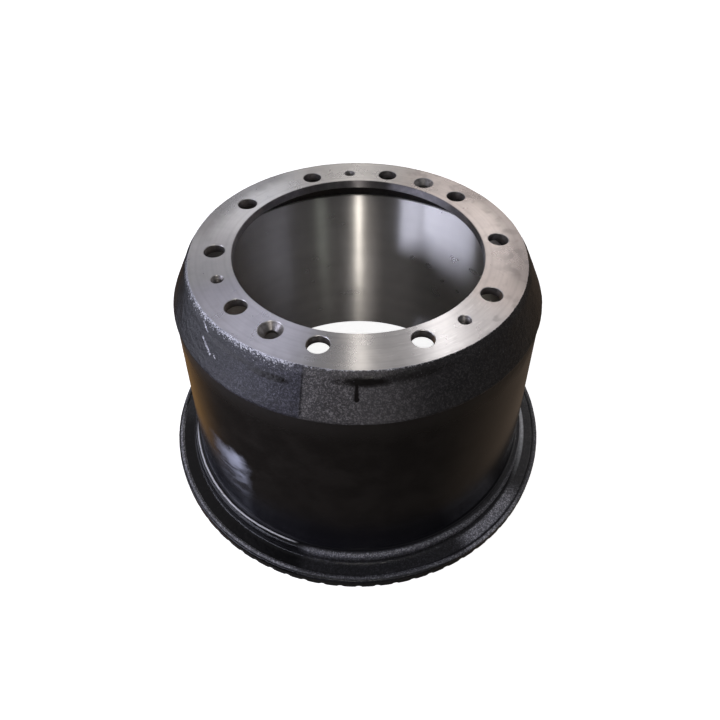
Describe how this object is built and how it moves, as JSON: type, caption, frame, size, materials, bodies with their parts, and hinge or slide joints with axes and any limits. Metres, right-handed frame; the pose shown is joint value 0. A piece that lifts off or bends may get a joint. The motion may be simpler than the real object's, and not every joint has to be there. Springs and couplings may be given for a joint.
{
  "type": "brake drum",
  "caption": "Cast-iron brake drum for a heavy axle: turned mounting face with wheel-bolt holes, stepped shoulder, tapered wall and a wide scalloped rim at the open end.",
  "frame": {"origin": "centre of the open end's bearing plane, on the drum's axis", "axes": "+Z along the drum's axis, from the open end to the mounting face; +X through a wheel-bolt hole"},
  "size_m": [0.5576, 0.5576, 0.3225],
  "materials": {
    "drum_iron": "black gloss paint outside, on a cast shoulder and rim and a turned wall; bare turned iron on the mounting face, the pilot bore and the friction bore"
  },
  "bodies": {
    "root": {"brake_drum": "drum_iron"}
  },
  "joints": []
}
